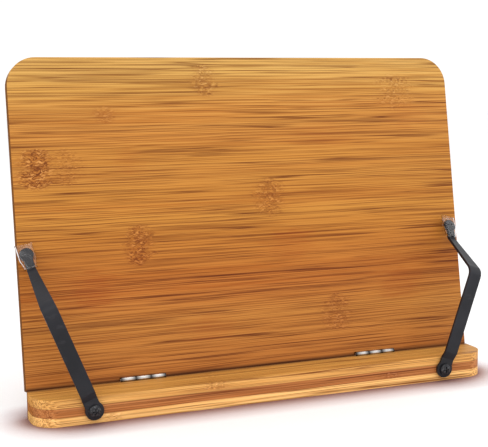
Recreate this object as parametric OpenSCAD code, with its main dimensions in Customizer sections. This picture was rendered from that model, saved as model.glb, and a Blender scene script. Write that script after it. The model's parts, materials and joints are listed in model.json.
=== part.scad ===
// Folding book and album stand: a leaning bamboo board hinged to a thick bamboo ledge,
// held up from behind by a hinged leg whose foot rod stands in a scalloped base,
// with two bent steel page arms screwed to the front of the ledge.
// Millimetres. +X runs along the ledge, +Y to the back, +Z up.
// The origin is the centre of the ledge's underside, on the surface the stand rests on.

/* [Board] */
// Width of the board and of the ledge
board_w = 340; // [300:1:400]
// Height of the board along its face
board_h = 223.5; // [210:0.5:260]
// Thickness of the board
board_t = 7.5; // [7:0.5:9]
// Radius of the board's two top corners
board_corner_r = 20; // [5:1:40]
// Lean of the board from upright, with the foot in the first scallop
lean = 10; // [8:1:15]

/* [Ledge] */
// Depth of the ledge from its front face to the crease
ledge_d = 28; // [26:1:40]
// Thickness of the ledge, which also stands on the table
ledge_t = 18; // [18:0.5:24]
// Radius of the ledge's two front corners, seen from above
ledge_corner_r = 16; // [5:1:20]

/* [Base rails] */
// Height of the base rails
rail_h = 9.5; // [8:0.5:10]
// Width of each base rail
rail_w = 20; // [16:1:30]
// Distance from the stand's middle to the middle of each side rail
rail_x = 78; // [76:1:100]
// Length of the side rails behind the ledge
rail_len = 204; // [200:1:230]
// Number of scallops for the foot rod in each rail
scallops = 5; // [3:1:6]
// Distance from the first scallop to the last
scallop_travel = 93.5; // [80:0.5:96]
// Depth of a scallop below the top of the rail
scallop_depth = 0.8; // [0.5:0.1:0.9]

/* [Leg] */
// Width of the leg
leg_w = 130; // [100:1:132]
// Thickness of the leg
leg_t = 8; // [7:0.5:9]
// Length of the leg from its hinge pin down to the foot rod
leg_len = 136; // [130:1:145]
// Distance up the board from the crease pin to the leg's hinge pin
leg_pin_up = 115; // [110:1:125]
// Diameter of the steel foot rod
foot_rod_d = 5; // [4:0.5:6]
// Length of the steel foot rod
foot_rod_len = 172; // [170:1:180]

/* [Hinges] */
// Length of each crease hinge
crease_hinge_len = 32; // [25:1:40]
// Distance from the middle to the middle of each crease hinge
crease_hinge_x = 90; // [60:1:120]
// Outside diameter of a crease hinge's barrel
crease_barrel_d = 3.8; // [3.6:0.1:4]
// Length of each leg hinge
leg_hinge_len = 30; // [25:1:36]
// Distance from the middle to the middle of each leg hinge
leg_hinge_x = 42; // [30:1:45]
// Outside diameter of a leg hinge's barrel
leg_barrel_d = 5; // [4.5:0.1:5.2]

/* [Arms] */
// Distance from the middle to each arm's pivot screw
arm_x = 132; // [110:1:150]
// Outward splay of the left arm from upright
left_splay = 22; // [10:1:22]
// Outward splay of the right arm from upright
right_splay = 19; // [10:1:22]
// Thickness of the flat steel
arm_t = 1.8; // [1.5:0.1:2]
// Width of the flat steel
arm_w = 10; // [8:0.5:11]
// Diameter of the round eye at the pivot screw
eye_d = 12.5; // [11:0.5:14]
// Distance from the eye to the knee bend's virtual corner
knee_up = 76; // [60:1:80]
// Radius of the knee bend at the middle of the steel
knee_r = 8; // [5:0.5:10]
// Distance from the eye to the tip's middle, along the lower strip
tip_up = 101; // [95:1:106]
// How far the tip lies inward of the line of the lower strip
tip_in = 5.5; // [0:0.5:8]
// How far the tip pad leans back from the lower strip
pad_lean = 33; // [20:1:45]
// How far the tip pad turns inward from the lower strip
pad_in = 8.5; // [0:0.5:12]

/* [Tip sleeves] */
// Outside thickness of the clear sleeve on each tip
sleeve_t = 3.4; // [3:0.1:4]
// Gap left between the sleeve's top corner and the board
tip_gap = 1; // [0.8:0.1:2]

/* [Hidden] */
$fn = 64;
bite = 0.5;                 // extra reach of a cutting solid past the face it cuts
steel_gap = 0.05;           // running clearance of pins and of faces that slide
left = -1;
right = 1;

// crease hinge: the pin stands just above the ledge's back top edge
crease_y = ledge_d / 2;
crease_rise = 0.8;
crease_z = ledge_t + crease_rise;
crease_barrel_r = crease_barrel_d / 2;
crease_pin_r = 1;
crease_leaf_reach = 9;      // from the pin to the leaf's far edge
crease_leaf_t = 1;
board_edge_up = -1.3;       // board's bottom edge, a little below the pin
board_front = 1.3;          // board's front face behind the pin, clear of the ledge in every tilt
board_back = board_front + board_t;

// leg hinge and leg, measured from the crease pin in the board's own tilted frame
leg_barrel_r = leg_barrel_d / 2;
leg_pin_r = 1.25;
leg_leaf_t = 1;
leg_leaf_reach = 15;
leg_pin_out = board_back + leg_barrel_r + 0.2;
leg_pin_y = crease_y + leg_pin_up * sin(lean) + leg_pin_out * cos(lean);
leg_pin_z = crease_z + leg_pin_up * cos(lean) - leg_pin_out * sin(lean);
leg_inner = -leg_barrel_r + leg_leaf_t;
leg_top_gap = leg_barrel_r + 0.7;
rod_out = leg_inner + leg_t / 2;
rod_r = foot_rod_d / 2;
rod_float = 0.4;            // gap between the rod and the scallop under it
foot_z = rail_h - scallop_depth + rod_float + rod_r;
leg_reach = norm([leg_len, rod_out]);
leg_angle = acos((leg_pin_z - foot_z) / leg_reach) - atan(rod_out / leg_len);
foot_y = leg_pin_y + leg_len * sin(leg_angle) + rod_out * cos(leg_angle);
scallop_w = 16;
scallop_r = (pow(scallop_w / 2, 2) + pow(scallop_depth, 2)) / (2 * scallop_depth);

// screws and dowels
screw_r = 1;
screw_fit = 0.02;
csk_r = 1.9;
csk_h = 0.8;
dowel_r = 2.5;
dowel_len = 24;
dowel_step = 10;
rail_screw_r = 1.5;
rail_screw_len = 34;
rail_screw_head_r = 3;
rail_screw_head_h = 1.8;

// arms: the pivot screw stands in the middle of the ledge's front face
eye_z = ledge_t / 2;
washer_t = 0.8;
washer_r = 4.5;
arm_back_y = -ledge_d / 2 - washer_t - steel_gap;
pivot_r = 2;
pivot_len = 22;
pivot_head_r = 4;
pivot_head_h = 2.4;
joggle = 2;
joggle_from = 8;
joggle_to = 13;
strip_mid = -joggle - arm_t / 2;
neck_w = 6;
neck_bead_r = arm_t / 2 + 0.2;
pad_r = 4.7;
pad_len = 16;
// directions of the pad's sides, back and length in the right arm's frame
pad_side = [cos(pad_in), sin(pad_in) * sin(pad_lean), sin(pad_in) * cos(pad_lean)];
pad_back = [0, cos(pad_lean), -sin(pad_lean)];
pad_up = [-sin(pad_in), cos(pad_in) * sin(pad_lean), cos(pad_in) * cos(pad_lean)];
sleeve_top_w = 11.6;
sleeve_foot_w = 8.4;
sleeve_len = 18.5;
sleeve_foot = 1.3 - pad_len / 2;
sleeve_slack = 0.1;

module board_frame() {
    translate([0, crease_y, crease_z]) rotate([-lean, 0, 0]) children();
}

module leg_frame() {
    translate([0, leg_pin_y, leg_pin_z]) rotate([leg_angle, 0, 0]) children();
}

// a solid of revolution lying along X, centred on x = 0
module x_rod(r, len) {
    rotate([0, 90, 0]) cylinder(h = len, r = r, center = true);
}

// plate with two rounded corners at its far (+Y) side, drawn from y = 0
module two_corner_outline(w, h, r) {
    translate([-w / 2, 0]) square([w, h - r]);
    translate([r - w / 2, 0]) square([w - 2 * r, h]);
    intersection() {
        for (s = [left, right]) translate([s * (w / 2 - r), h - r]) circle(r = r);
        translate([-w / 2, 0]) square([w, h]);
    }
}

// ---- wood ----

module ledge() {
    color("burlywood") difference() {
        translate([0, crease_y, 0]) mirror([0, 1, 0])
            linear_extrude(ledge_t) two_corner_outline(board_w, ledge_d, ledge_corner_r);
        for (s = [left, right]) {
            translate([s * crease_hinge_x, crease_y, crease_z]) {
                crease_leaf_pocket();
                crease_screw_spots() rotate([90, 0, 0]) cylinder(h = 9, r = screw_r);
            }
            translate([s * arm_x, -ledge_d / 2 - bite, eye_z])
                rotate([-90, 0, 0]) cylinder(h = pivot_len - 3 + bite, r = pivot_r);
            dowel_spots(s) dowel_hole();
        }
    }
}

// recess for a leaf in the ledge's back face, with a round relief for the barrel
module crease_leaf_pocket() {
    translate([0, -crease_leaf_t / 2 + bite / 2, -crease_leaf_reach / 2])
        cube([crease_hinge_len, crease_leaf_t + bite, crease_leaf_reach], center = true);
    x_rod(crease_barrel_r + 0.2, crease_hinge_len + 0.4);
}

module dowel_spots(s) {
    for (step = [-dowel_step / 2, dowel_step / 2])
        translate([s * rail_x + step, crease_y, rail_h / 2]) children();
}

module dowel_hole() {
    rotate([90, 0, 0]) cylinder(h = dowel_len + 1, r = dowel_r, center = true);
}

module rail(s) {
    color("burlywood") difference() {
        translate([s * rail_x - rail_w / 2, crease_y, 0]) cube([rail_w, rail_len, rail_h]);
        for (i = [0 : scallops - 1])
            translate([s * rail_x, foot_y + i * scallop_travel / (scallops - 1),
                    scallop_r + rail_h - scallop_depth])
                x_rod(scallop_r, rail_w + 1, $fn = 128);
        dowel_spots(s) dowel_hole();
        rail_screw_spots(s) rotate([90, 0, 0]) cylinder(h = rail_screw_len, r = rail_screw_r);
    }
}

module rear_rail() {
    color("burlywood") difference() {
        translate([-rail_x - rail_w / 2, crease_y + rail_len, 0])
            cube([2 * rail_x + rail_w, rail_w, rail_h]);
        for (s = [left, right]) rail_screw_spots(s) {
            translate([0, bite, 0]) rotate([90, 0, 0]) cylinder(h = rail_w + 2 * bite, r = rail_screw_r);
            translate([0, bite, 0]) rotate([90, 0, 0])
                cylinder(h = rail_screw_head_h + bite + 0.2, r = rail_screw_head_r + 0.2);
        }
    }
}

module rail_dowels() {
    color("tan") for (s = [left, right]) dowel_spots(s)
        rotate([90, 0, 0]) cylinder(h = dowel_len, r = dowel_r - screw_fit, center = true);
}

// screw places on the back of the rear rail
module rail_screw_spots(s) {
    for (step = [-dowel_step / 2, dowel_step / 2])
        translate([s * rail_x + step, crease_y + rail_len + rail_w, rail_h / 2]) children();
}

module rear_rail_screws() {
    color("silver") for (s = [left, right]) rail_screw_spots(s) rotate([90, 0, 0]) difference() {
        union() {
            cylinder(h = rail_screw_len - 1, r = rail_screw_r - screw_fit);
            translate([0, 0, 0.2]) cylinder(h = rail_screw_head_h, r = rail_screw_head_r);
        }
        translate([0, 0, -bite]) cylinder(h = 1.5, r = 1.2, $fn = 6);
    }
}

module board() {
    color("peru") board_frame() difference() {
        translate([0, board_back, board_edge_up]) rotate([90, 0, 0])
            linear_extrude(board_t) two_corner_outline(board_w, board_h, board_corner_r);
        for (s = [left, right]) {
            translate([s * crease_hinge_x, 0, 0]) {
                translate([-crease_hinge_len / 2, 0, board_edge_up - bite])
                    cube([crease_hinge_len, crease_leaf_reach,
                        2 * steel_gap + crease_leaf_t + bite - board_edge_up]);
                x_rod(crease_barrel_r + 0.2, crease_hinge_len + 0.4);
                crease_board_spots() cylinder(h = 8, r = screw_r);
            }
            translate([s * leg_hinge_x, board_back, leg_pin_up])
                leg_leaf_spots() rotate([90, 0, 0]) cylinder(h = 6, r = screw_r);
        }
    }
}

module leg() {
    color("burlywood") leg_frame() difference() {
        union() {
            translate([-leg_w / 2, leg_inner, -leg_len]) cube([leg_w, leg_t, leg_len - leg_top_gap]);
            translate([0, rod_out, -leg_len]) x_rod(leg_t / 2, leg_w);
        }
        translate([0, rod_out, -leg_len]) x_rod(rod_r, leg_w + 1);
        for (s = [left, right]) translate([s * leg_hinge_x, leg_inner, 0]) mirror([0, 0, 1])
            leg_leaf_spots() rotate([-90, 0, 0]) cylinder(h = 6, r = screw_r);
    }
}

module foot_rod() {
    color("silver") leg_frame() translate([0, rod_out, -leg_len])
        x_rod(rod_r - screw_fit, foot_rod_len);
}

// ---- hinges ----

// one leaf lying in the XZ plane below the pin: its outer face is at y = face,
// its thickness goes towards -Y, and it carries the outer or the middle knuckles
module leaf(len, reach, t, face, barrel_r, pin_r, outer) {
    third = len / 3;
    gap = 0.3;
    difference() {
        union() {
            translate([-len / 2, face - t, -reach]) cube([len, t, reach]);
            x_rod(barrel_r, len);
        }
        x_rod(pin_r, len + 1);
        if (outer) x_rod(barrel_r + gap, third + gap);
        else for (s = [left, right]) translate([s * third, 0, 0]) x_rod(barrel_r + gap, third + gap);
    }
}

// three screw places on a crease hinge's ledge leaf, facing +Y, with y = 0 on its face
module crease_screw_spots() {
    for (i = [-1 : 1]) translate([i * crease_hinge_len / 3, 0, -6]) children();
}

// the same three places on the board leaf, in the board's bottom edge
module crease_board_spots() {
    for (i = [-1 : 1]) translate([i * crease_hinge_len / 3, 5.4, 2 * steel_gap]) children();
}

// two screw places on a leg hinge's leaf, above the pin on the board's back
module leg_leaf_spots() {
    for (s = [left, right]) translate([s * leg_hinge_len / 3, 0, 9.5]) children();
}

// countersunk hole, or with fit > 0 the screw that fills it, along +Z from its face
module csk(len, fit) {
    cylinder(h = csk_h, r1 = csk_r - fit, r2 = screw_r - fit);
    cylinder(h = len, r = screw_r - fit);
}

module csk_screw(len) {
    difference() {
        csk(len, screw_fit);
        for (a = [0, 90]) rotate([0, 0, a])
            translate([-1, -0.2, -bite]) cube([2, 0.4, bite + 0.5]);
    }
}

module crease_ledge_leaf(s) {
    color("silver") translate([s * crease_hinge_x, crease_y, crease_z]) difference() {
        leaf(crease_hinge_len, crease_leaf_reach, crease_leaf_t, 0, crease_barrel_r, crease_pin_r, true);
        crease_screw_spots() rotate([90, 0, 0]) csk(3, 0);
    }
}

module crease_ledge_screws() {
    color("silver") for (s = [left, right]) translate([s * crease_hinge_x, crease_y, crease_z])
        crease_screw_spots() rotate([90, 0, 0]) csk_screw(8.5);
}

module crease_board_leaf(s) {
    color("silver") board_frame() translate([s * crease_hinge_x, 0, 0]) difference() {
        rotate([90, 0, 0])
            leaf(crease_hinge_len, crease_leaf_reach - 1, crease_leaf_t, 2 * steel_gap + crease_leaf_t,
                crease_barrel_r, crease_pin_r + steel_gap, false);
        crease_board_spots() csk(3, 0);
    }
}

module crease_board_screws() {
    color("silver") board_frame() for (s = [left, right]) translate([s * crease_hinge_x, 0, 0])
        crease_board_spots() csk_screw(7.5);
}

module crease_pin(s) {
    color("silver") translate([s * crease_hinge_x, crease_y, crease_z])
        x_rod(crease_pin_r, crease_hinge_len + 0.3);
}

// board leaf of a leg hinge, above the pin on the board's back
module leg_board_leaf(s) {
    color("silver") board_frame() translate([s * leg_hinge_x, leg_pin_out, leg_pin_up]) difference() {
        mirror([0, 0, 1])
            leaf(leg_hinge_len, leg_leaf_reach, leg_leaf_t, leg_leaf_t - leg_barrel_r - 0.2,
                leg_barrel_r, leg_pin_r, true);
        translate([0, leg_leaf_t - leg_barrel_r - 0.2, 0]) leg_leaf_spots() rotate([90, 0, 0]) csk(3, 0);
    }
}

module leg_board_screws() {
    color("silver") board_frame() for (s = [left, right])
        translate([s * leg_hinge_x, board_back + leg_leaf_t, leg_pin_up])
            leg_leaf_spots() rotate([90, 0, 0]) csk_screw(6);
}

// leg leaf of a leg hinge, below the pin on the leg's inner face
module leg_leaf(s) {
    color("silver") leg_frame() translate([s * leg_hinge_x, 0, 0]) difference() {
        leaf(leg_hinge_len, leg_leaf_reach, leg_leaf_t, leg_inner, leg_barrel_r,
            leg_pin_r + steel_gap, false);
        translate([0, -leg_barrel_r, 0]) mirror([0, 0, 1]) leg_leaf_spots() rotate([-90, 0, 0]) csk(3, 0);
    }
}

module leg_leaf_screws() {
    color("silver") leg_frame() for (s = [left, right]) translate([s * leg_hinge_x, -leg_barrel_r, 0])
        mirror([0, 0, 1]) leg_leaf_spots() rotate([-90, 0, 0]) csk_screw(6);
}

module leg_pin(s) {
    color("silver") board_frame() translate([s * leg_hinge_x, leg_pin_out, leg_pin_up])
        x_rod(leg_pin_r, leg_hinge_len + 0.6);
}

// ---- page arms ----

// the right arm's frame: origin on the pivot axis at the eye's back face, +Z up the strip
module arm_frame(s, splay) {
    if (s == left) mirror([1, 0, 0]) arm_frame(right, splay) children();
    else translate([arm_x, arm_back_y, eye_z]) rotate([0, splay, 0]) children();
}

// the tip pad's frame: origin at the pad's middle, +Z up the pad
module pad_frame(s, splay) {
    arm_frame(s, splay) translate(in_arm(tip_place(splay), splay))
        rotate([-pad_lean, 0, 0]) rotate([0, -pad_in, 0]) children();
}

// how far the sleeve's top corner reaches back from the pad's middle, square to the board
function sleeve_reach(splay) =
    let (to_board = [sin(lean) * sin(splay), cos(lean), -sin(lean) * cos(splay)])
    (sleeve_foot + sleeve_len) * (pad_up * to_board) + sleeve_t / 2 * (pad_back * to_board)
        + sleeve_top_w / 2 * (pad_side * to_board);

// middle of the right tip pad, in front of the board
function tip_place(splay) =
    let (x = arm_x + tip_up * sin(splay) - tip_in * cos(splay),
         z = eye_z + tip_up * cos(splay) + tip_in * sin(splay),
         face_y = crease_y + board_front / cos(lean) + (z - crease_z) * tan(lean))
    [x, face_y - (tip_gap + sleeve_reach(splay)) / cos(lean), z];

// a place turned into the right arm's frame
function in_arm(p, splay) =
    let (x = p.x - arm_x, z = p.z - eye_z)
    [x * cos(splay) - z * sin(splay), p.y - arm_back_y, x * sin(splay) + z * cos(splay)];

module arm(s, splay) {
    neck = in_arm(tip_place(splay), splay) - pad_len / 2 * pad_up;
    run = neck.y - strip_mid;
    climb = atan2(neck.z - knee_up, run);
    tangent = knee_r * tan((90 - climb) / 2);
    color("dimgray") {
        arm_frame(s, splay) {
            difference() {
                intersection() {
                    rotate([90, 0, 90]) linear_extrude(4 * arm_w, center = true)
                        arm_profile(climb, tangent, norm([run, neck.z - knee_up]) - tangent);
                    union() {
                        lower_silhouette(knee_up - tangent);
                        upper_silhouette(neck, knee_up - tangent);
                    }
                }
                translate([0, bite, 0]) rotate([90, 0, 0])
                    cylinder(h = arm_t + 2 * bite, r = pivot_r + steel_gap);
            }
            translate(neck) x_rod(neck_bead_r, neck_w);
        }
        pad_frame(s, splay) rotate([90, 0, 0]) linear_extrude(arm_t, center = true) {
            translate([0, pad_len / 2 - pad_r]) circle(r = pad_r);
            translate([-neck_w / 2, -pad_len / 2]) square([neck_w, pad_len - pad_r]);
        }
    }
}

// side view of the bent steel: eye, joggle, lower strip, round knee and upper strip
module arm_profile(climb, tangent, upper_len) {
    reach = 4 * knee_r;
    bend_from = knee_up - tangent;
    polygon([[0, -eye_d], [0, joggle_from], [-joggle, joggle_to], [-joggle, bend_from],
        [-joggle - arm_t, bend_from], [-joggle - arm_t, joggle_to], [-arm_t, joggle_from], [-arm_t, -eye_d]]);
    translate([strip_mid + knee_r, bend_from]) intersection() {
        difference() {
            circle(r = knee_r + arm_t / 2);
            circle(r = knee_r - arm_t / 2);
        }
        polygon([[0, 0], [-reach, 0], [-reach, reach], [-reach * sin(climb), reach * cos(climb)]]);
    }
    translate([strip_mid, knee_up]) rotate(climb) translate([tangent, -arm_t / 2]) square([upper_len, arm_t]);
}

// front view of the eye and the lower strip, up to where the knee begins
module lower_silhouette(top) {
    rotate([90, 0, 0]) linear_extrude(4 * arm_w, center = true) {
        circle(r = eye_d / 2);
        translate([-arm_w / 2, 0]) square([arm_w, top + bite]);
    }
}

// top view of the knee and the upper strip, which narrows and runs inward to the neck
module upper_silhouette(neck, from) {
    half = arm_w / 2;
    translate([0, 0, from]) linear_extrude(neck.z)
        polygon([[-half, strip_mid - arm_t], [half, strip_mid - arm_t], [half, strip_mid + arm_t / 2],
            [neck.x + neck_w / 2, neck.y], [neck.x - neck_w / 2, neck.y], [-half, strip_mid + arm_t / 2]]);
}

module tip_sleeve(s, splay) {
    color("white", 0.4) pad_frame(s, splay) rotate([90, 0, 0]) difference() {
        linear_extrude(sleeve_t, center = true)
            polygon([[-sleeve_foot_w / 2, sleeve_foot], [sleeve_foot_w / 2, sleeve_foot],
                [sleeve_top_w / 2, sleeve_foot + 8], [sleeve_top_w / 2, sleeve_foot + sleeve_len],
                [-sleeve_top_w / 2, sleeve_foot + sleeve_len], [-sleeve_top_w / 2, sleeve_foot + 8]]);
        linear_extrude(arm_t + 2 * sleeve_slack, center = true) {
            translate([0, pad_len / 2 - pad_r]) circle(r = pad_r + sleeve_slack);
            translate([-neck_w / 2 - sleeve_slack, -pad_len / 2])
                square([neck_w + 2 * sleeve_slack, pad_len - pad_r]);
        }
    }
}

module arm_washer(s) {
    color("black") translate([s * arm_x, -ledge_d / 2, eye_z]) rotate([90, 0, 0]) difference() {
        cylinder(h = washer_t, r = washer_r);
        translate([0, 0, -bite]) cylinder(h = washer_t + 2 * bite, r = pivot_r);
    }
}

// pan head with a cross recess, its shank running back through the arm into the ledge
module arm_screw(s) {
    head_y = arm_back_y - arm_t - steel_gap;
    crown_r = 8;
    color("black") translate([s * arm_x, head_y, eye_z]) rotate([90, 0, 0]) difference() {
        union() {
            intersection() {
                cylinder(h = pivot_head_h, r = pivot_head_r);
                translate([0, 0, pivot_head_h - crown_r]) sphere(r = crown_r);
            }
            translate([0, 0, -pivot_len + 1]) cylinder(h = pivot_len - 0.5, r = pivot_r);
        }
        for (a = [0, 90]) rotate([0, 0, a])
            translate([-2.2, -0.5, pivot_head_h - 1.3]) cube([4.4, 1, 2]);
    }
}

ledge();
rail(left);  // left_rail
rail(right);  // right_rail
rear_rail();
rail_dowels();
rear_rail_screws();
crease_ledge_leaf(left);  // left_crease_ledge_leaf
crease_ledge_leaf(right);  // right_crease_ledge_leaf
crease_pin(left);  // left_crease_pin
crease_pin(right);  // right_crease_pin
crease_ledge_screws();
arm_screw(left);  // left_arm_screw
arm_screw(right);  // right_arm_screw
arm_washer(left);  // left_arm_washer
arm_washer(right);  // right_arm_washer
board();
crease_board_leaf(left);  // left_crease_board_leaf
crease_board_leaf(right);  // right_crease_board_leaf
crease_board_screws();
leg_board_leaf(left);  // left_leg_board_leaf
leg_board_leaf(right);  // right_leg_board_leaf
leg_board_screws();
leg();
foot_rod();
leg_leaf(left);  // left_leg_leaf
leg_leaf(right);  // right_leg_leaf
leg_pin(left);  // left_leg_pin
leg_pin(right);  // right_leg_pin
leg_leaf_screws();
arm(left, left_splay);  // left_arm
arm(right, right_splay);  // right_arm
tip_sleeve(left, left_splay);  // left_tip_sleeve
tip_sleeve(right, right_splay);  // right_tip_sleeve
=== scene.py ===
"""Looks of the folding bamboo book stand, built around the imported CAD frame. Metres."""
import json
import math

import bpy
from mathutils import Matrix, Vector


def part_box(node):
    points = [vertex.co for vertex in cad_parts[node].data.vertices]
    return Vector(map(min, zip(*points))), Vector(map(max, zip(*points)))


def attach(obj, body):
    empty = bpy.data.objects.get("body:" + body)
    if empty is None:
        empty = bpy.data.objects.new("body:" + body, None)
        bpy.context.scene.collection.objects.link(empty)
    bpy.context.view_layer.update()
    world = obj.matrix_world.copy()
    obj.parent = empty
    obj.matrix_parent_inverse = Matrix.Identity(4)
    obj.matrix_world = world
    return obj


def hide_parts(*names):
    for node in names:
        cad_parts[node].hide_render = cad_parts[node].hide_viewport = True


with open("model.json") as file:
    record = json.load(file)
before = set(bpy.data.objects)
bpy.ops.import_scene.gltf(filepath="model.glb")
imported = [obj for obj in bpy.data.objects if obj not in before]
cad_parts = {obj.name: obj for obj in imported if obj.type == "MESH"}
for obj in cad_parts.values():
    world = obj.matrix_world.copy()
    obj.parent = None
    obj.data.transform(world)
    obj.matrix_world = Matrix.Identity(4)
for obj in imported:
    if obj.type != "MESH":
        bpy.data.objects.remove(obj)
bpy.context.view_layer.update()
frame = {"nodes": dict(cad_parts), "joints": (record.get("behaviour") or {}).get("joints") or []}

nodes = frame["nodes"]
joints = {j["name"]: j for j in frame["joints"]}

LEAN = math.radians(10)
CREASE = Vector(joints["board_tilt"]["pos_m"])
LEG_PIN = Vector(joints["leg_swing"]["pos_m"])
LEDGE_LOW, LEDGE_HIGH = (Vector(corner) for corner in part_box("ledge"))
PLY = (LEDGE_HIGH.z - LEDGE_LOW.z) / 3
# the board's own frame has x along the grain and z up the board, and the crease is at this z
BOARD_LOW = CREASE.z * math.cos(LEAN) + CREASE.y * math.sin(LEAN)
BOARD_REACH = 0.222
# how far each arm is swung outward from upright, and how its tip pad leans back and turns in
SPLAY = {"left": 22, "right": 19}
PAD_LEAN = 33
PAD_IN = 8.5
# colours of bamboo, from its palest fibres to its darkest
PALE, MID = (0.71, 0.420, 0.124), (0.62, 0.335, 0.080)
DEEP, DARK = (0.48, 0.226, 0.046), (0.17, 0.052, 0.009)


# ---- camera, light and floor ----

def add_camera():
    """The camera stands left of the stand and a little above it, and looks slightly down."""
    place = Vector((-0.3009, -0.6942, 0.2211))
    turn, dip, roll = math.radians(22.01), math.radians(7.42), math.radians(-0.33)
    data = bpy.data.cameras.new("view_camera")
    data.sensor_width = 36
    data.lens = 81.1475
    camera = bpy.data.objects.new("view_camera", data)
    camera.location = place
    look = Matrix.Rotation(-turn, 4, "Z") @ Matrix.Rotation(math.radians(90) - dip, 4, "X")
    camera.rotation_euler = (look @ Matrix.Rotation(roll, 4, "Z")).to_euler()
    bpy.context.collection.objects.link(camera)
    bpy.context.scene.camera = camera


def add_area_light(name, place, aim, size, power, colour=(1, 1, 1)):
    data = bpy.data.lights.new(name, "AREA")
    data.shape = "RECTANGLE"
    data.size, data.size_y = size
    data.energy = power
    data.color = colour
    lamp = bpy.data.objects.new(name, data)
    lamp.location = place
    lamp.rotation_euler = (Vector(aim) - Vector(place)).to_track_quat("-Z", "Y").to_euler()
    bpy.context.collection.objects.link(lamp)


def add_studio():
    world = bpy.data.worlds.new("studio")
    world.use_nodes = True
    background = world.node_tree.nodes["Background"]
    background.inputs["Color"].default_value = (1, 1, 1, 1)
    background.inputs["Strength"].default_value = 1.08
    bpy.context.scene.world = world
    bpy.context.scene.view_settings.view_transform = "Standard"
    add_area_light("key", (-0.9, -1.5, 1.3), (0, 0.05, 0.1), (1.2, 1.0), 6, (1, 0.985, 0.96))
    add_area_light("top", (0.2, 0.1, 1.6), (0, 0.05, 0.05), (1.6, 1.2), 5)
    add_area_light("side", (1.4, -0.6, 0.8), (0, 0.05, 0.1), (0.8, 1.2), 2)

    floor_mesh = bpy.data.meshes.new("floor")
    reach = 6
    corners = [(-reach, -reach, 0), (reach, -reach, 0), (reach, reach, 0), (-reach, reach, 0)]
    floor_mesh.from_pydata(corners, [], [(0, 1, 2, 3)])
    floor = bpy.data.objects.new("floor", floor_mesh)
    bpy.context.collection.objects.link(floor)
    net = Net("floor_paper")
    grain = net.noise(net.place(), 400, detail=2)
    paper = net.ramp(grain, ((0.3, (0.92, 0.92, 0.925)), (0.7, (0.94, 0.94, 0.945))))
    # Painted contact shadow: the floor's colour is darkened and reddened wherever the ambient
    # occlusion finds the stand close by.
    open_sky = net.node("AmbientOcclusion", {"Distance": 0.030}, samples=12).outputs["AO"]
    shade = net.ramp(open_sky, ((0.50, (0.20, 0.09, 0.08)), (0.70, (0.42, 0.27, 0.25)),
                                (0.89, (0.82, 0.73, 0.73)), (1.0, (1, 1, 1))))
    net.surface(net.mix(1.0, paper, shade, "MULTIPLY"), Roughness=0.9)
    floor_mesh.materials.append(net.material)


# ---- shader network helper ----

class Net:
    """A small builder for one procedural material."""

    def __init__(self, name):
        self.material = bpy.data.materials.new(name)
        self.material.use_nodes = True
        self.tree = self.material.node_tree
        self.tree.nodes.clear()
        self.shader = self.tree.nodes.new("ShaderNodeBsdfPrincipled")
        output = self.tree.nodes.new("ShaderNodeOutputMaterial")
        self.tree.links.new(self.shader.outputs["BSDF"], output.inputs["Surface"])

    def put(self, socket, value):
        """Links a socket, or sets a plain number, vector or colour on it."""
        if isinstance(value, bpy.types.NodeSocket):
            self.tree.links.new(value, socket)
        elif socket.type == "RGBA" and len(value) == 3:
            socket.default_value = (*value, 1)
        else:
            socket.default_value = value

    def node(self, kind, inputs=(), **settings):
        made = self.tree.nodes.new("ShaderNode" + kind)
        for key, value in settings.items():
            setattr(made, key, value)
        for key, value in dict(inputs).items():
            self.put(made.inputs[key], value)
        return made

    def place(self, output="Object"):
        return self.node("TexCoord").outputs[output]

    def turned(self, vector, turn=(0, 0, 0), stretch=(1, 1, 1), shift=(0, 0, 0)):
        made = self.node("Mapping", {"Vector": vector, "Rotation": turn, "Scale": stretch,
                                     "Location": shift})
        return made.outputs["Vector"]

    def noise(self, vector, scale=1.0, detail=2.0, rough=0.5, distort=0.0):
        made = self.node("TexNoise", {"Vector": vector, "Scale": scale, "Detail": detail,
                                      "Roughness": rough, "Distortion": distort})
        return made.outputs["Fac"]

    def maths(self, operation, a, b=0.0, c=None, clamp=False):
        inputs = {0: a, 1: b}
        if c is not None:
            inputs[2] = c
        return self.node("Math", inputs, operation=operation, use_clamp=clamp).outputs[0]

    def times(self, a, b, clamp=False):
        return self.maths("MULTIPLY", a, b, clamp=clamp)

    def over(self, a, b):
        return self.maths("DIVIDE", a, b)

    def plus(self, a, b):
        return self.maths("ADD", a, b)

    def minus(self, a, b):
        return self.maths("SUBTRACT", a, b)

    def absolute(self, a):
        return self.maths("ABSOLUTE", a)

    def axes(self, vector):
        return self.node("SeparateXYZ", {0: vector}).outputs

    def joined(self, x, y, z):
        return self.node("CombineXYZ", {0: x, 1: y, 2: z}).outputs[0]

    def ramp(self, factor, stops, mode="LINEAR"):
        made = self.node("ValToRGB", {0: factor})
        ramp = made.color_ramp
        ramp.interpolation = mode
        while len(ramp.elements) < len(stops):
            ramp.elements.new(0.5)
        for element, (at, colour) in zip(ramp.elements, stops):
            element.position = at
            element.color = (*colour, 1) if len(colour) == 3 else colour
        return made.outputs["Color"]

    def grey(self, factor, stops):
        return self.ramp(factor, [(at, (value, value, value)) for at, value in stops])

    def mix(self, factor, a, b, blend="MIX"):
        made = self.node("Mix", data_type="RGBA", blend_type=blend)
        self.put(made.inputs[0], factor)
        self.put(made.inputs[6], a)
        self.put(made.inputs[7], b)
        return made.outputs[2]

    def random(self, value):
        """One random number for each whole number."""
        return self.node("TexWhiteNoise", {"W": value}, noise_dimensions="1D").outputs["Value"]

    def bump(self, height, depth, strength=1.0):
        made = self.node("Bump", {"Height": height, "Distance": depth, "Strength": strength})
        return made.outputs["Normal"]

    def surface(self, colour, **values):
        self.put(self.shader.inputs["Base Color"], colour)
        for key, value in values.items():
            self.put(self.shader.inputs[key.replace("_", " ")], value)
        return self.material


# ---- materials ----

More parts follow.
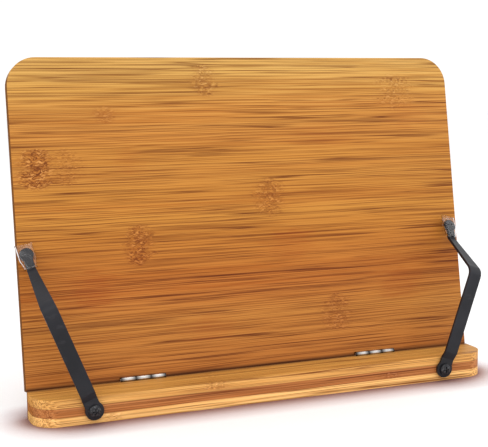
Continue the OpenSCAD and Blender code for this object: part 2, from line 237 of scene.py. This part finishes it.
def wood_axes(net, turn):
    """The object's coordinates turned so that x is along the grain, y into the wood, z across it."""
    return net.axes(net.turned(net.place(), turn=turn))


def patch_mask(net, x, z, patches, raggedness=1.0):
    """Soft patches, as (x, z, half width, half height, strength), with ends broken up by noise."""
    ragged = net.noise(net.joined(net.times(x, 70), 0.0, net.times(z, 260)), detail=2)
    ragged = net.times(net.minus(ragged, 0.5), 1.6 * raggedness)
    total = net.times(x, 0.0)
    for centre_x, centre_z, half_x, half_z, strength in patches:
        aside = net.over(net.absolute(net.minus(x, centre_x)), half_x)
        above = net.over(net.absolute(net.minus(z, centre_z)), half_z)
        above = net.times(net.maths("POWER", above, 5), 0.8)
        near = net.grey(net.plus(net.plus(aside, above), ragged), ((0.25, 1.0), (1.15, 0.0)))
        total = net.maths("MAXIMUM", total, net.times(near, strength))
    return total


def streak_sampler(net, x, y, z, knots):
    """Noise drawn out along the grain. Its streaks wander a little, and wriggle at a joint."""
    drift = net.noise(net.joined(net.times(x, 14), net.times(y, 60), net.times(z, 70)), detail=1)
    wriggle = net.noise(net.joined(net.times(x, 330), y, net.times(z, 200)), detail=1)
    wander = net.times(net.minus(drift, 0.5), 0.0009)
    wriggle = net.times(net.times(net.minus(wriggle, 0.5), 0.0040), knots)
    wander = net.plus(wander, wriggle)
    across = net.plus(z, wander)
    depth = net.plus(y, wander)

    def streaks(along, over, detail=2.0, rough=0.55):
        place = net.joined(net.times(x, along), net.times(depth, over), net.times(across, over))
        return net.noise(place, detail=detail, rough=rough)

    return streaks, across


def ridge(net, field, width):
    """Thin lines where a field crosses its middle value."""
    return net.grey(net.absolute(net.minus(field, 0.5)), ((0.0, 1.0), (width, 0.0)))


def add_joint_marks(net, base, x, y, across, fibres, knots, red):
    """At a joint the fibres stand up into short curls, light and dark, and the wood is redder."""
    curls = net.noise(net.joined(net.times(x, 260), net.times(y, 300), net.times(across, 900)),
                      detail=1, distort=0.7)
    fibrous = net.times(red, net.grey(fibres, ((0.42, 0.35), (0.58, 1.0))))
    reddened = net.maths("MAXIMUM", fibrous, net.times(knots, 0.7))
    base = net.mix(net.times(reddened, 0.55), base, (0.42, 0.135, 0.026))
    base = net.mix(net.times(ridge(net, curls, 0.110), net.times(knots, 1.1), clamp=True), base, DARK)
    lit = net.grey(curls, ((0.58, 0.0), (0.66, 1.0)))
    return net.mix(net.times(lit, net.times(knots, 0.55)), base, (0.95, 0.60, 0.27))


def end_grain_and_shade(net, turn):
    """Where the wood is cut across, and the dark pores seen there; the cut faces are made darker
    still as painted shade, like side faces in shadow.
    """
    facing = net.axes(net.turned(net.place("Normal"), turn=turn))[0]
    end = net.grey(net.absolute(facing), ((0.80, 0.0), (0.97, 1.0)))
    cells = net.node("TexVoronoi", {"Vector": net.place(), "Scale": 1100.0}, feature="F1")
    pores = net.grey(cells.outputs["Distance"], ((0.05, 0.0), (0.5, 1.0)))
    return end, net.mix(pores, (0.055, 0.022, 0.010), (0.17, 0.070, 0.026))


def bamboo(name, turn=(0, 0, 0), strip=0.0147, origin=0.0, marks=(), stains=(), tint=None,
           end_dark=0.9, seed=0.0):
    """Varnished bamboo: fine fibres along x, thin dark streaks, glued strips of their own tint,
    the wriggly marks of the cane's joints, and redder stains."""
    net = Net(name)
    x, y, z = wood_axes(net, turn)
    seeded = net.plus(x, seed)
    knots = patch_mask(net, x, z, marks)
    red = patch_mask(net, x, z, stains, 1.3)
    streaks, across = streak_sampler(net, seeded, y, z, knots)

    fibres = streaks(9, 1350, detail=2)
    field = streaks(2.4, 300, detail=1)
    lines = ridge(net, field, 0.024)
    beside = net.grey(net.absolute(net.minus(field, 0.5)), ((0.022, 0.0), (0.034, 1.0), (0.075, 0.0)))
    thin = ridge(net, streaks(3.5, 620, detail=1), 0.045)
    broken = net.grey(streaks(13, 260, detail=1), ((0.38, 0.0), (0.52, 1.0)))
    clouds = streaks(5, 120, detail=2)
    bands = net.grey(streaks(2.5, 42, detail=1), ((0.47, 0.0), (0.62, 1.0)))
    row = net.maths("FLOOR", net.over(net.minus(z, origin), strip))
    row_tint = net.random(net.plus(row, seed * 100 + 17))

    base = net.mix(net.grey(clouds, ((0.30, 0.0), (0.62, 1.0))), DEEP, MID)
    base = net.mix(net.times(bands, 0.45), base, (0.55, 0.215, 0.040))
    base = net.mix(net.times(row_tint, 0.40), base, PALE)
    base = net.mix(net.times(net.grey(fibres, ((0.38, 1.0), (0.50, 0.0))), 0.55), base, PALE)
    base = net.mix(net.times(net.grey(fibres, ((0.50, 0.0), (0.62, 1.0))), 0.54), base, DARK)
    base = net.mix(net.times(beside, 0.45), base, PALE)
    base = net.mix(net.times(net.times(thin, broken), 0.78), base, DARK)
    base = net.mix(net.times(net.times(lines, net.plus(broken, 0.35)), 0.74), base, DARK)
    base = add_joint_marks(net, base, seeded, y, across, fibres, knots, red)
    if tint:
        base = tint(net, z, base)
    # Cut faces take the dark end-grain colour: real pores, darkened further as painted shade.
    end, ends = end_grain_and_shade(net, turn)
    base = net.mix(net.times(end, end_dark), base, ends)

    height = net.plus(net.times(lines, -0.6), net.times(fibres, -0.5))
    uneven = net.plus(net.times(fibres, 0.6), net.times(clouds, 0.4))
    rough = net.grey(uneven, ((0.3, 0.44), (0.7, 0.60)))
    return net.surface(base, Roughness=rough, Normal=net.bump(height, 0.0001, 0.4),
                       Specular_IOR_Level=net.grey(end, ((0.0, 0.16), (1.0, 0.0))))


def board_painted_light(net, z, base):
    """The board is palest at its top and redder and darker towards the ledge: painted light falling
    from above, with a thin painted shadow along its foot in the crease.
    """
    up = net.over(net.minus(z, BOARD_LOW), BOARD_REACH)
    # Painted shadow at the very foot, in the crease; above it painted light, dimmer and redder low
    # down and brightening to white at the top.
    stops = ((0.0, (0.25, 0.14, 0.10)), (0.008, (0.75, 0.47, 0.33)), (0.16, (0.80, 0.56, 0.38)),
             (0.24, (0.75, 0.46, 0.29)), (0.30, (0.72, 0.43, 0.25)), (0.38, (0.77, 0.49, 0.27)),
             (0.50, (0.82, 0.60, 0.35)),
             (0.77, (0.86, 0.65, 0.45)), (0.85, (0.92, 0.76, 0.60)), (0.90, (0.96, 0.90, 0.76)),
             (0.99, (1, 1, 1)))
    return net.mix(1.0, base, net.ramp(up, stops), "MULTIPLY")


def ledge_plies_and_painted_shade(net, z, base):
    """Three plies: pale above and below, a browner one between them, with thin glue lines. Painted
    shade darkens the faces that look up, and a painted shadow lines the crease along the back of the
    top.
    """
    level = net.over(net.minus(z, LEDGE_LOW.z), PLY)
    middle = net.maths("COMPARE", level, 1.5, 0.5)
    low = net.maths("LESS_THAN", level, 1.0)
    tone = net.mix(middle, net.mix(low, (1.26, 1.18, 1.22), (1.72, 1.86, 2.40)), (0.87, 0.62, 0.70))
    base = net.mix(1.0, base, tone, "MULTIPLY")
    near = net.absolute(net.minus(net.absolute(net.minus(level, 1.5)), 0.5))
    glue = net.grey(near, ((0.0, 1.0), (0.045, 0.0)))
    base = net.mix(net.times(glue, 0.55), base, (0.16, 0.06, 0.02))
    # Painted shade: faces that look up are darker than the front, as if the light came from the
    # front.
    painted_top_shade = net.grey(net.axes(net.place("Normal"))[2], ((0.7, 0.0), (0.95, 1.0)))
    base = net.mix(painted_top_shade, base, net.mix(1.0, base, (0.79, 0.75, 0.60), "MULTIPLY"))
    # Painted shadow: a thin dark line along the back edge of the top, in the crease under the board.
    to_crease_shadow = net.minus(LEDGE_HIGH.y, net.axes(net.place())[1])
    return net.mix(net.grey(to_crease_shadow, ((0.0003, 0.85), (0.0009, 0.0))), base, (0.10, 0.035, 0.014))


def black_steel():
    """Satin black enamel on flat steel, with faint scuffs and a soft orange-peel surface."""
    net = Net("satin_black_enamel")
    place = net.place()
    peel = net.noise(place, 1400, detail=2)
    brushed = net.turned(place, turn=(0.3, 0.9, 0.2), stretch=(60, 900, 120))
    scuff = net.noise(brushed, detail=3, rough=0.65)
    cloud = net.noise(place, 45, detail=2)
    cloudy = net.grey(cloud, ((0.35, 0.0), (0.65, 1.0)))
    colour = net.mix(cloudy, (0.007, 0.007, 0.010), (0.014, 0.014, 0.019))
    rubbed = net.grey(scuff, ((0.60, 0.0), (0.72, 1.0)))
    colour = net.mix(net.times(rubbed, 0.30), colour, (0.060, 0.056, 0.064))
    rough = net.grey(scuff, ((0.35, 0.34), (0.7, 0.50)))
    return net.surface(colour, Roughness=rough, Specular_IOR_Level=0.28,
                       Normal=net.bump(peel, 0.00005, 0.25))


def screw_black():
    """Blackened steel of the pivot screws, worn a little grey on the head."""
    net = Net("blackened_steel")
    wear = net.noise(net.place(), 700, detail=3, rough=0.6)
    worn = net.grey(wear, ((0.5, 0.0), (0.7, 1.0)))
    colour = net.mix(worn, (0.030, 0.030, 0.033), (0.12, 0.12, 0.125))
    return net.surface(colour, Roughness=net.grey(wear, ((0.3, 0.28), (0.7, 0.42))), Metallic=0.7,
                       Normal=net.bump(wear, 0.00004, 0.3))


def plated(name, colour, low, high, gaps=()):
    """Bright plated steel with fine rolling marks along X, and painted shade darkening it at the gaps
    between knuckles.
    """
    net = Net(name)
    place = net.place()
    rolled = net.noise(net.turned(place, stretch=(120, 2600, 2600)), detail=3, rough=0.6)
    spots = net.noise(place, 260, detail=2)
    dull = tuple(c * 0.72 for c in colour)
    shade = net.mix(net.grey(spots, ((0.45, 0.0), (0.75, 1.0))), colour, dull)
    # Painted shade in the gaps between knuckles and at the barrels' ends.
    for gap in gaps:
        near = net.absolute(net.minus(net.absolute(net.axes(place)[0]), gap))
        shade = net.mix(net.grey(near, ((0.0003, 1.0), (0.0007, 0.0))), shade, (0.020, 0.016, 0.014))
    return net.surface(shade, Roughness=net.grey(rolled, ((0.3, low), (0.7, high))), Metallic=1.0,
                       Normal=net.bump(rolled, 0.00002, 0.3))


def nylon():
    net = Net("black_nylon")
    grain = net.noise(net.place(), 900, detail=2)
    colour = net.mix(grain, (0.018, 0.018, 0.019), (0.035, 0.035, 0.037))
    return net.surface(colour, Roughness=0.55, Normal=net.bump(grain, 0.00003, 0.4))


def clear_vinyl():
    """Clear soft vinyl, with faint waves that break up its highlights."""
    net = Net("clear_vinyl")
    waves = net.noise(net.place(), 330, detail=2, rough=0.5)
    smear = net.noise(net.turned(net.place(), stretch=(150, 150, 40)), detail=2)
    colour = net.mix(smear, (0.99, 0.985, 0.99), (0.95, 0.95, 0.965))
    return net.surface(colour, Roughness=net.grey(smear, ((0.3, 0.02), (0.7, 0.06))), IOR=1.30,
                       Transmission_Weight=1.0, Normal=net.bump(waves, 0.00015, 0.35))


# ---- dressing of the CAD nodes ----

def dress(names, material, bevel=None, segments=3):
    for name in names:
        obj = nodes[name]
        obj.data.materials.clear()
        obj.data.materials.append(material)
        if bevel:
            edge = obj.modifiers.new("edge", "BEVEL")
            edge.width = bevel
            edge.segments = segments
            edge.limit_method = "ANGLE"
            edge.angle_limit = math.radians(40)
            edge.harden_normals = True


def both(tail):
    return [f"left_{tail}", f"right_{tail}"]


def pad_turn(side, splay):
    """The tip pad's own frame: x across the pad, y through it to the back, z up it."""
    swing = Matrix.Rotation(math.radians(side * splay), 3, "Y")
    lean_back = Matrix.Rotation(math.radians(-PAD_LEAN), 3, "X")
    turn_in = Matrix.Rotation(math.radians(-side * PAD_IN), 3, "Y")
    return swing @ lean_back @ turn_in


def add_sleeve(hand, side, material):
    """A clear thin-walled tube over the tip: snug at its foot, squeezed flat and open at its top."""
    name = f"{hand}_tip_sleeve"
    turn = pad_turn(side, SPLAY[hand])
    inside = [turn.inverted() @ vertex.co for vertex in nodes[name].data.vertices]
    low = Vector(min(p[i] for p in inside) for i in range(3))
    high = Vector(max(p[i] for p in inside) for i in range(3))
    middle, size = (low + high) / 2, high - low
    around, levels, wall = 48, 40, 0.00045
    verts, faces = [], []
    for shell in (0, wall):
        for level in range(levels + 1):
            t = level / levels
            spread = min(t / 0.45, 1)
            spread = spread * spread * (3 - 2 * spread)
            half_w = (0.72 + 0.28 * spread) * size.x / 2 - shell
            lip = max(0, (t - 0.72) / 0.28)
            half_t = (0.93 + 0.07 * spread - 0.22 * lip) * size.y / 2 - shell
            bead = 0.00022 * (math.exp(-(t / 0.035) ** 2) + math.exp(-((1 - t) / 0.035) ** 2))
            half_w, half_t = half_w + bead, half_t + bead
            for step in range(around):
                angle = 2 * math.pi * step / around
                c, d = math.cos(angle), math.sin(angle)
                x = half_w * math.copysign(abs(c) ** 0.55, c)
                y = half_t * math.copysign(abs(d) ** 0.8, d)
                crease = (0.00006 if shell else 0.00010) * math.sin(5 * angle + 9 * t) * (1 - abs(c))
                z = low.z + size.z * (0.01 + 0.98 * t) + 0.0005 * lip * math.sin(2 * angle + 0.6)
                z -= 0.0006 * lip
                verts.append(turn @ Vector((middle.x + x, middle.y + y * 0.97 + crease, z)))
    count = (levels + 1) * around

    def ring(shell, level, step):
        return shell * count + level * around + step % around

    def join(low_ring, high_ring):
        """Faces between two rings, each given as (shell, level)."""
        for step in range(around):
            faces.append((ring(*low_ring, step), ring(*low_ring, step + 1),
                          ring(*high_ring, step + 1), ring(*high_ring, step)))

    for level in range(levels):
        join((0, level), (0, level + 1))
        join((1, level + 1), (1, level))
    join((1, 0), (0, 0))
    join((0, levels), (1, levels))
    mesh = bpy.data.meshes.new(f"{name}_tube")
    mesh.from_pydata(verts, [], faces)
    mesh.polygons.foreach_set("use_smooth", [True] * len(faces))
    mesh.materials.append(material)
    tube = bpy.data.objects.new(f"{name}_tube", mesh)
    bpy.context.collection.objects.link(tube)
    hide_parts(name)
    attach(tube, f"{hand}_arm")


# ---- the board's spots, and what each node wears ----

ALONG_Y = (0, 0, math.radians(90))
SCREWS = ("rear_rail_screws", "crease_ledge_screws", "crease_board_screws", "leg_board_screws",
          "leg_leaf_screws")
RAIL_EDGE, PAINTED_EDGE, LEAF_EDGE = 0.0007, 0.00012, 0.00015
# how far from the stand's middle the crease hinges' barrels end and their knuckles meet; painted
# shade darkens the plating there
KNUCKLE_GAPS = (0.0742, 0.08467, 0.09533, 0.1058)


def up_board(spots):
    """Spots given by their height up the board, moved to the board's own coordinates."""
    return tuple((x, up + BOARD_LOW, *rest) for x, up, *rest in spots)


def board_marks():
    """Joints of the cane, as (x, height up the board, half width, half height, strength)."""
    return up_board(((-0.154, 0.146, 0.014, 0.0145, 1.0), (-0.134, 0.147, 0.014, 0.0130, 0.35),
                     (-0.086, 0.091, 0.012, 0.0145, 0.75), (0.124, 0.196, 0.018, 0.0145, 0.30),
                     (-0.104, 0.182, 0.010, 0.0060, 0.30), (0.014, 0.120, 0.014, 0.0145, 0.55),
                     (0.062, 0.033, 0.014, 0.0145, 0.45), (-0.030, 0.205, 0.013, 0.0120, 0.40)))


def board_stains():
    """Redder patches of the board, given like its marks."""
    return up_board(((-0.119, 0.062, 0.020, 0.0145, 0.9), (-0.103, 0.182, 0.012, 0.005, 0.6),
                     (-0.090, 0.150, 0.012, 0.010, 0.4), (0.118, 0.050, 0.024, 0.012, 0.7),
                     (0.132, 0.178, 0.022, 0.010, 0.5), (0.030, 0.085, 0.025, 0.012, 0.7),
                     (-0.040, 0.030, 0.025, 0.010, 0.6), (0.060, 0.165, 0.030, 0.010, 0.4)))


def leg_turn():
    """The leg's grain runs down it, from its hinge pin to the foot rod."""
    low, high = (Vector(corner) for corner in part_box("foot_rod"))
    slope = math.atan2((low.y + high.y) / 2 - LEG_PIN.y, LEG_PIN.z - (low.z + high.z) / 2)
    return (-slope, math.radians(90), 0)


def dress_wood():
    ledge_marks = ((-0.046, 0.0155, 0.012, 0.0028, 0.3), (0.088, 0.0085, 0.010, 0.0028, 0.4),
                   (-0.120, 0.003, 0.010, 0.0028, 0.3))
    leg_marks = ((0.024, -0.033, 0.012, 0.0105, 0.7), (0.062, 0.011, 0.011, 0.0105, 0.5))
    board = bamboo("board_bamboo", turn=(LEAN, 0, 0), origin=BOARD_LOW + 0.1317, marks=board_marks(),
                   stains=board_stains(), tint=board_painted_light)
    ledge = bamboo("ledge_bamboo", tint=ledge_plies_and_painted_shade, strip=0.006, seed=0.31, end_dark=0.22,
                   marks=ledge_marks)
    leg = bamboo("leg_bamboo", turn=leg_turn(), strip=0.022, seed=2.1, marks=leg_marks)
    dress(["board"], board, 0.00025)
    dress(["ledge"], ledge, 0.0004)
    dress(both("rail"), bamboo("rail_bamboo", turn=ALONG_Y, strip=0.02, seed=0.7), RAIL_EDGE)
    dress(["rear_rail"], bamboo("rear_bamboo", strip=0.02, seed=1.3), RAIL_EDGE)
    dress(["leg"], leg, RAIL_EDGE)
    dress(["rail_dowels"], bamboo("dowel_wood", turn=ALONG_Y, seed=3.0))


def dress_metal():
    dress(both("arm"), black_steel(), 0.00028)
    dress(both("arm_screw"), screw_black(), PAINTED_EDGE)
    dress(both("arm_washer"), nylon(), PAINTED_EDGE)
    nickel = plated("nickel_plate", (0.80, 0.78, 0.74), 0.16, 0.30)
    # The crease hinges get a darker copy of the nickel plate, as painted shade in the crease.
    shaded_crease_nickel = plated("shaded_crease_nickel", (0.66, 0.63, 0.60), 0.16, 0.30, KNUCKLE_GAPS)
    zinc = plated("zinc_plate", (0.70, 0.70, 0.69), 0.22, 0.38)
    dress(both("leg_board_leaf") + both("leg_leaf"), nickel, LEAF_EDGE, 2)
    dress(both("crease_ledge_leaf") + both("crease_board_leaf"), shaded_crease_nickel, LEAF_EDGE, 2)
    dress(both("crease_pin") + both("leg_pin") + ["foot_rod"], zinc, 0.0001, 2)
    dress(SCREWS, zinc)


def dress_sleeves():
    vinyl = clear_vinyl()
    dress(both("tip_sleeve"), vinyl)
    add_sleeve("left", -1, vinyl)
    add_sleeve("right", 1, vinyl)


add_camera()
add_studio()
dress_wood()
dress_metal()
dress_sleeves()
